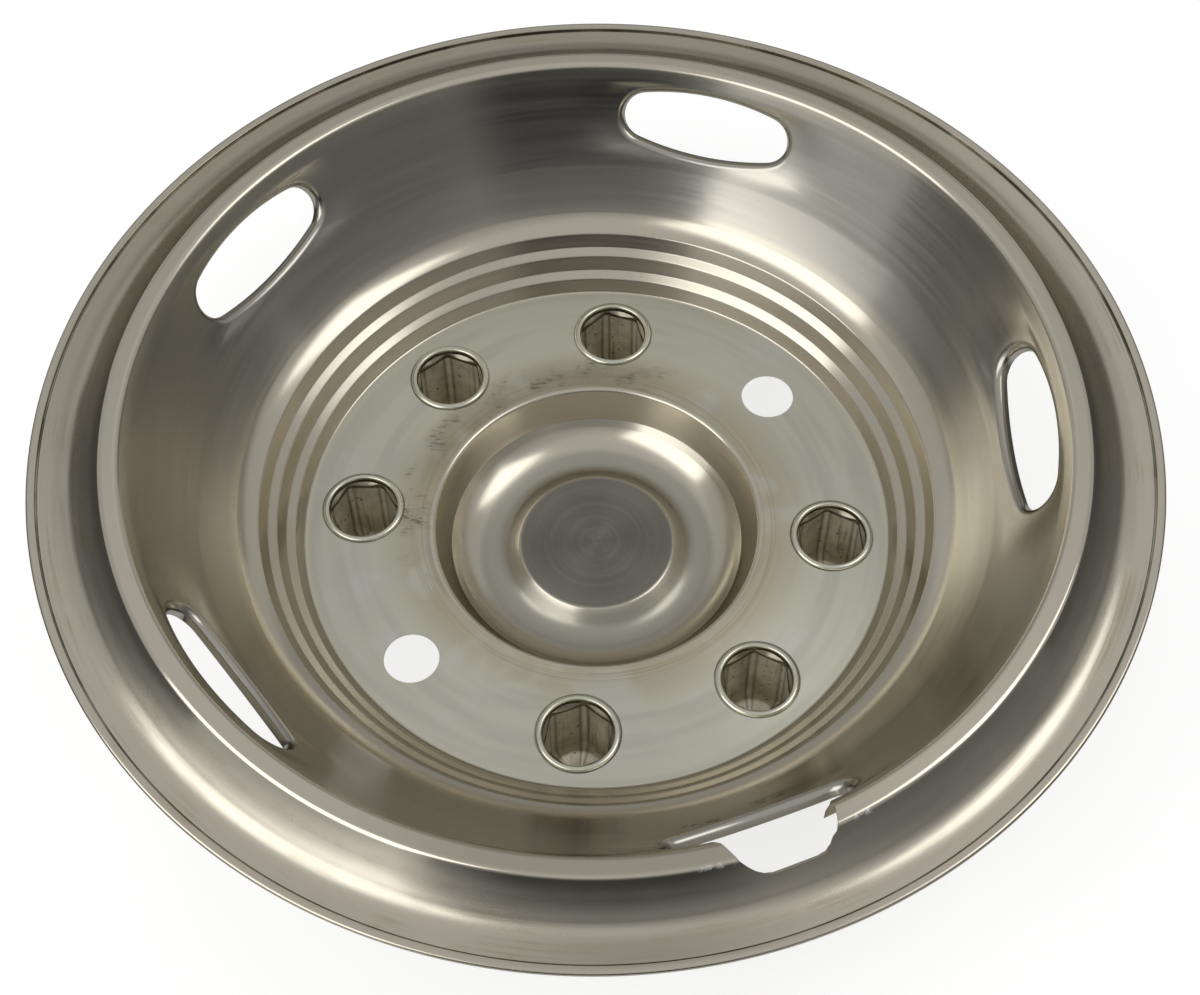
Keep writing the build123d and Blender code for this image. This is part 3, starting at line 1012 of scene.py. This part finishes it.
def with_groove_and_lip_shade(n, colour):
    """Painted shade: a patchy dark line in the groove beside the folded lip, and a patchy shadow ring round
    the lips of the covers.
    """
    patches = n.rise(n.mottle, 0.4, 0.6)
    # Painted shade along the groove beside the folded lip
    groove = n.times(n.band(n.r, *GROOVE_RING, soft=0.25), n.rise(n.z, *GROOVE_LEVELS))
    colour = n.mix(n.times(groove, n.blend(patches, 0.3, 0.75)), colour, GRIME_AND_SHADE)
    # Painted shadow in a ring round each cover's lip, where it meets the lug flat
    rings = n.times(n.flat_level, n.band(n.lug_distance(), *COVER_RING, soft=0.3))
    return n.mix(n.times(rings, n.blend(patches, 0.45, 0.9)), colour, GRIME_AND_SHADE)


def with_turning_lines(n, colour):
    """Turning lines beside the hub's edge, and rings and a pale rim on its disc."""
    lines = n.rise(n.grain(1.2, 1.5, 0), 0.48, 0.62)
    colour = n.mix(n.times(n.lug_flat, n.fall(n.r, *TURNED_EDGE), lines, 0.45), colour, SOILED)
    rings = n.rise(n.grain(0.4, 0.45, 1), 0.42, 0.66)
    colour = n.mix(n.times(n.disc, n.blend(rings, 0.0, 0.5)), colour, DISC_PALE)
    rim = n.times(n.fall(n.r, *DISC_RIM), n.rise(n.r, *DISC_RIM_START))
    return n.mix(n.times(rim, 0.55), colour, DISC_PALE)


def with_scuffs(n, colour):
    """Smudges and slanting strokes round the hub, rubbed marks under the notch, and its bare burr."""
    scuffed = n.times(n.band(n.turn, *SCUFFED_TURNS, soft=8), n.band(n.r, *SCUFFED_RING, soft=4))
    scuffed = n.times(scuffed, n.flat_level)
    smudges = n.rise(n.noise(62, 3), 0.47, 0.66)
    strokes = n.rise(n.noise(1.0, 3, n.slanted(560, 110)), 0.50, 0.66)
    colour = n.mix(n.times(scuffed, smudges, n.blend(strokes, 0.18, 0.85)), colour, SCUFF)
    marks = []
    for turns, radii in RUBBED_MARKS:
        marks.append(n.times(n.band(n.turn, *turns, soft=0.8), n.band(n.r, *radii, soft=1.0)))
    rubbed = n.times(n.math("ADD", *marks), n.rise(n.z, *RUBBED_LEVELS), n.rise(n.coarse, 0.44, 0.60))
    colour = n.mix(n.times(rubbed, 0.85), colour, GRIME_AND_SHADE)
    return n.mix(n.times(n.burr, 0.9), colour, BARE_AND_HIGHLIGHT)


def liner_roughness(n):
    """Finish of each zone, with the brushing's grain."""
    rough = n.blend(n.broad, 0.17, 0.24)
    rough = n.blend(n.band(n.r, *BARREL_RING, soft=1.5), rough, 0.14)
    rough = n.blend(n.lug_flat, rough, n.blend(n.drawn, 0.32, 0.42))
    rough = n.blend(n.flange, rough, n.blend(n.mottle, 0.20, 0.32))
    rough = n.blend(n.disc, rough, 0.6)
    rough = n.blend(n.trough, rough, n.blend(n.drawn, 0.26, 0.36))
    rough = n.blend(n.burr, rough, 0.34)
    return n.math("ADD", rough, n.times(n.math("SUBTRACT", n.drawn, 0.5), 0.12))


def liner_steel():
    """Polished stainless, brushed round the axis, duller, stained and scuffed in places."""
    n = LinerNodes("liner_stainless")
    colour = zone_tones(n)
    for coat in (with_tarnish_and_wall_shade, with_stains, with_groove_and_lip_shade, with_turning_lines, with_scuffs):
        colour = coat(n, colour)
    n.surface("Base Color", colour)
    n.surface("Roughness", liner_roughness(n))
    n.surface("Metallic", 1)
    n.surface("Specular Tint", GLINT)
    n.surface("Anisotropic", BRUSHING)
    n.surface("Anisotropic Rotation", BRUSHING_TURN)
    tangent = n.add("ShaderNodeTangent", direction_type="RADIAL", axis="Z")
    n.surface("Tangent", tangent.outputs[0])
    n.surface("Normal", n.bump(n.noise(38, 1), 0.03))
    return n.material


# Levels of a cover's lip, of the painted shade under it and of the shoulder, and the painted dark and bright
# stripes beside the corners
LIP_LEVELS = (44.9, 45.6)
LIP_SHADE_LEVELS = (44.8, 45.5)
SHOULDER_LEVELS = (40.8, 41.6)
CORNER_SHADE = (0.16, 0.30)
CORNER_HIGHLIGHT = (0.02, 0.12)


def well_tone(n, mottle, inside, from_corner):
    """Dull steel of a cover's well, with streaks, a painted dark stripe and a painted highlight at its
    corners, and specks.
    """
    well = n.mix(n.rise(mottle, 0.35, 0.7), WELL_PALE, WELL_DULL)
    streaks = n.times(inside, n.rise(n.noise(1.0, 3, n.stretched(300, 300, 22)), 0.54, 0.72))
    well = n.mix(n.times(streaks, 0.6), well, WELL_STREAK_AND_SHADE)
    # Painted shade: a dark stripe beside each corner of the well
    stripe = n.times(n.band(from_corner, *CORNER_SHADE, soft=0.08), n.blend(n.noise(90, 2), 0.4, 1.2))
    well = n.mix(n.times(stripe, 0.75), well, WELL_STREAK_AND_SHADE)
    # Painted highlight: a pale stripe along each corner of the well
    well = n.mix(n.times(n.fall(from_corner, *CORNER_HIGHLIGHT), 0.8), well, BARE_AND_HIGHLIGHT)
    specks = n.times(inside, n.rise(n.noise(430, 1), 0.71, 0.74))
    return n.mix(n.times(specks, 0.85), well, GRIME_AND_SHADE)


def cover_steel():
    """Drawn stainless: bright lip, painted shade below it and on the shoulder, dull well and bare outside."""
    n = Nodes("cover_stainless")
    mottle = n.noise(160, 5)
    shoulder = n.rise(n.z, *SHOULDER_LEVELS)
    from_corner = n.add("ShaderNodeAttribute", attribute_name="from_corner").outputs["Fac"]
    inside = n.fall(from_corner, 1.0, OUTSIDE)
    well = well_tone(n, mottle, inside, from_corner)
    # Painted shade: the neck and shoulder under the lip darkened
    colour = n.mix(shoulder, well, n.mix(mottle, WELL_STREAK_AND_SHADE, TARNISHED))
    colour = n.mix(inside, n.mix(mottle, WARM, TARNISHED), colour)
    colour = n.mix(n.rise(n.z, *LIP_LEVELS), colour, LUG_FLAT)
    # Painted shade: a dark line just under the lip
    lip_shade = n.band(n.z, *LIP_SHADE_LEVELS, soft=0.2)
    n.surface("Base Color", n.mix(n.times(lip_shade, 0.7), colour, GRIME_AND_SHADE))
    bare = n.math("MAXIMUM", shoulder, n.math("SUBTRACT", 1.0, inside))
    n.surface("Metallic", n.blend(bare, 0.65, 1.0))
    n.surface("Roughness", n.blend(shoulder, n.blend(mottle, 0.30, 0.46), 0.22))
    n.surface("Normal", n.bump(mottle, 0.03))
    return n.material


liner.data.materials.clear()
liner.data.materials.append(liner_steel())
cover_material = cover_steel()
for cover in covers:
    cover.data.materials.append(cover_material)


# Studio, in metres: its middle in the bowl, a pale floor, and cards that the steel mirrors
MIDDLE = Vector((0, 0, 0.09))
WHITE = (1, 1, 1, 1)
FLOOR_SIZE = (12, 12)
FLOOR_TONE = 0.5
FLOOR_GLOW = 0.72
GRADED = (-0.05, 0.95)  # heights from a graded card's middle, between which it brightens
SIDE_GLOW = 0.17  # brightness at the soft side borders of a graded card
SIDE_BORDER = (0.5, 1.1)  # and the stretch from its middle over which it comes in
GROUND_DROP = 0.001  # mirrored ground under the floor
GROUND_GLOW = 0.6
GROUND_FADE = (330, 620)  # radius in millimetres over which the ground fades
GROUND_FAR_GLOW = 0.07
GROUND_AHEAD = (0, 105)  # degrees, where the far ground is paler
GROUND_AHEAD_GLOW = 0.5
WORLD_GLOW = 0.47


def stage_plane(name, centre, normal, size, material):
    """A flat piece of the studio."""
    mesh = bpy.data.meshes.new(name)
    w, h = size[0] / 2, size[1] / 2
    mesh.from_pydata([(-w, -h, 0), (w, -h, 0), (w, h, 0), (-w, h, 0)], [], [(0, 1, 2, 3)])
    mesh.materials.append(material)
    made = new_object(name, mesh)
    made.location = centre
    made.rotation_euler = Vector(normal).to_track_quat("Z", "Y").to_euler()
    return made


def paper(n, tone, glow):
    """Makes a material matt grey paper that glows by itself."""
    n.surface("Base Color", (tone, tone, tone, 1))
    n.surface("Roughness", 1.0)
    n.surface("Specular IOR Level", 0.0)
    n.surface("Emission Color", WHITE)
    n.surface("Emission Strength", glow)
    return n.material


def graded_paper(name, foot_glow, top_glow):
    """Black paper that glows less at its foot than at its top, with soft side borders."""
    n = Nodes(name)
    foot = n.blend(n.rise(n.math("ABSOLUTE", n.x), *SIDE_BORDER), foot_glow, SIDE_GLOW)
    return paper(n, 0, n.blend(n.rise(n.y, *GRADED), foot, top_glow))


def mirrored_ground():
    """What the steel mirrors of the ground: pale beside the wheel, dim further out, less so ahead."""
    n = Nodes("reflected_ground")
    far_glow = n.blend(n.band(n.turn, *GROUND_AHEAD, soft=20), GROUND_FAR_GLOW, GROUND_AHEAD_GLOW)
    return paper(n, 0, n.blend(n.rise(n.r, *GROUND_FADE), GROUND_GLOW, far_glow))


def aimed(azimuth, elevation, distance):
    """Place in the studio seen from its middle in a given direction, in degrees."""
    a, e = radians(azimuth), radians(elevation)
    return MIDDLE + Vector((cos(a) * cos(e), sin(a) * cos(e), sin(e))) * distance


def softbox(name, azimuth, elevation, distance, size, glow):
    """An area light facing the bowl, with its brightness as seen."""
    light = bpy.data.lights.new(name, "AREA")
    light.shape = "RECTANGLE"
    light.size, light.size_y = size
    light.energy = glow * size[0] * size[1] * pi
    made = new_object(name, light)
    made.location = aimed(azimuth, elevation, distance)
    made.rotation_euler = (MIDDLE - made.location).to_track_quat("-Z", "Y").to_euler()


def card(name, azimuth, elevation, distance, size, glow, top_glow=None):
    """A card facing the bowl, seen only in the steel, brighter at its top where top_glow is given."""
    material = paper(Nodes(name), 0, glow) if top_glow is None else graded_paper(name, glow, top_glow)
    place = aimed(azimuth, elevation, distance)
    made = stage_plane(name, place, MIDDLE - place, size, material)
    made.visible_camera = False


floor_paint = paper(Nodes("pale_floor"), FLOOR_TONE, FLOOR_GLOW)
floor = stage_plane("floor", (0, 0, 0), (0, 0, 1), FLOOR_SIZE, floor_paint)
floor.visible_glossy = False
ground = stage_plane("ground_in_reflections", (0, 0, -GROUND_DROP), (0, 0, 1), FLOOR_SIZE, mirrored_ground())
ground.visible_camera = False
ground.visible_diffuse = False
ground.visible_shadow = False
softbox("window_left", azimuth=172, elevation=42, distance=1.7, size=(1.45, 1.05), glow=1.6)
softbox("window_right", azimuth=-38, elevation=55, distance=1.7, size=(0.8, 0.95), glow=1.5)
card("ceiling", azimuth=0, elevation=90, distance=2.2, size=(3.3, 3.3), glow=0.58)
card("dark_room_left", azimuth=-128, elevation=19, distance=2.0, size=(2.2, 1.75), glow=0.015, top_glow=0.40)
card("dark_room_right", azimuth=-76, elevation=19, distance=2.0, size=(2.4, 1.75), glow=0.15, top_glow=0.42)
card("dark_left", azimuth=130, elevation=3, distance=2.2, size=(2.2, 0.9), glow=0.08)
card("dark_right", azimuth=-22, elevation=6, distance=2.2, size=(2.4, 0.9), glow=0.10)
card("dim_ahead", azimuth=52, elevation=21, distance=2.4, size=(2.6, 1.7), glow=0.33)

# Camera at the photograph's viewing angle
CAMERA_PLACE = Vector((-313.7, -371.6, 828.0)) * MM
HEADING = radians(49.63)
TILT = radians(32.53)
ROLL = radians(-0.554)
SENSOR_WIDTH = 36
LENS = 61.76
camera_data = bpy.data.cameras.new("camera")
camera_data.sensor_fit = "HORIZONTAL"
camera_data.sensor_width = SENSOR_WIDTH
camera_data.lens = LENS
camera = new_object("camera", camera_data)
camera.matrix_world = (
    Matrix.Translation(CAMERA_PLACE)
    @ Matrix.Rotation(HEADING - pi / 2, 4, "Z")
    @ Matrix.Rotation(TILT, 4, "X")
    @ Matrix.Rotation(ROLL, 4, "Z")
)
bpy.context.scene.camera = camera

world = bpy.data.worlds.new("studio")
bpy.context.scene.world = world
world.use_nodes = True
background = world.node_tree.nodes["Background"]
background.inputs["Color"].default_value = WHITE
background.inputs["Strength"].default_value = WORLD_GLOW
bpy.context.scene.view_settings.view_transform = "Standard"
